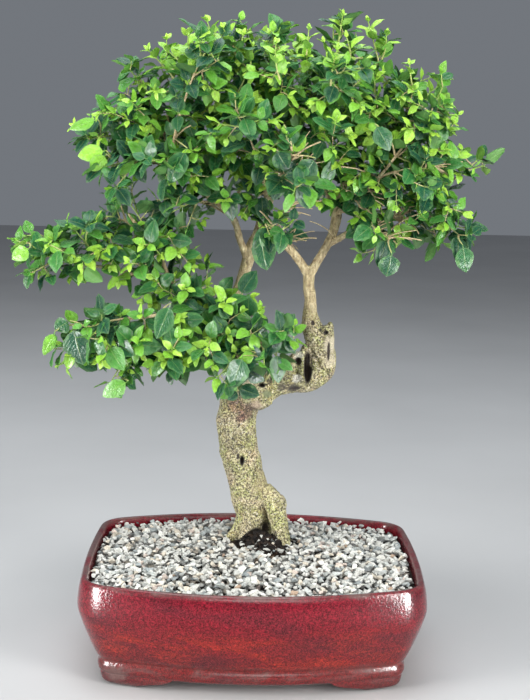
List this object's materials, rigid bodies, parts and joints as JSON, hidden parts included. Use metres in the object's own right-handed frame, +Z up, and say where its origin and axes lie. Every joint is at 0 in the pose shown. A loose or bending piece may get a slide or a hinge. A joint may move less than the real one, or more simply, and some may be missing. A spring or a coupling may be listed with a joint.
{
  "type": "potted privet bonsai",
  "caption": "Glossy privet bonsai with a gnarled, bent trunk and leafy branches, in soil and gravel in a glazed rectangular pot on bracket feet.",
  "frame": {"origin": "middle of the pot on the surface that it stands on", "axes": "+Z up, +X to the right along the pot's long side and +Y to the back, seen from the front"},
  "size_m": [0.4354, 0.24, 0.5753],
  "materials": {
    "glaze": "gloss",
    "screen": "matte",
    "soil": "matte",
    "gravel": "matte",
    "bark": "matte",
    "leaf": "satin"
  },
  "bodies": {
    "root": {"pot": "glaze", "drain_screen_left": "screen", "drain_screen_right": "screen", "soil": "soil", "gravel": "gravel", "trunk": "bark", "crown_branch_01": "leaf", "crown_branch_02": "leaf", "crown_branch_03": "leaf", "crown_branch_04": "leaf", "crown_branch_05": "leaf", "crown_branch_06": "leaf", "crown_branch_07": "leaf", "crown_branch_08": "leaf", "crown_branch_09": "leaf", "crown_branch_10": "leaf", "crown_branch_11": "leaf", "crown_branch_12": "leaf", "crown_branch_13": "leaf", "crown_branch_14": "leaf", "crown_branch_15": "leaf", "crown_branch_16": "leaf", "crown_branch_17": "leaf", "crown_branch_18": "leaf", "crown_branch_19": "leaf", "crown_branch_20": "leaf", "crown_branch_21": "leaf", "crown_branch_22": "leaf", "crown_branch_23": "leaf", "crown_branch_24": "leaf", "crown_branch_25": "leaf", "crown_branch_26": "leaf", "crown_branch_27": "leaf", "lower_pad_branch_34": "leaf", "lower_pad_branch_35": "leaf", "lower_pad_branch_36": "leaf", "lower_pad_branch_37": "leaf", "lower_pad_branch_38": "leaf", "lower_pad_branch_39": "leaf", "lower_pad_branch_40": "leaf", "lower_pad_branch_41": "leaf", "lower_pad_branch_42": "leaf", "upper_pad_branch_28": "leaf", "upper_pad_branch_29": "leaf", "upper_pad_branch_30": "leaf", "upper_pad_branch_31": "leaf", "upper_pad_branch_32": "leaf", "upper_pad_branch_33": "leaf"}
  },
  "joints": []
}
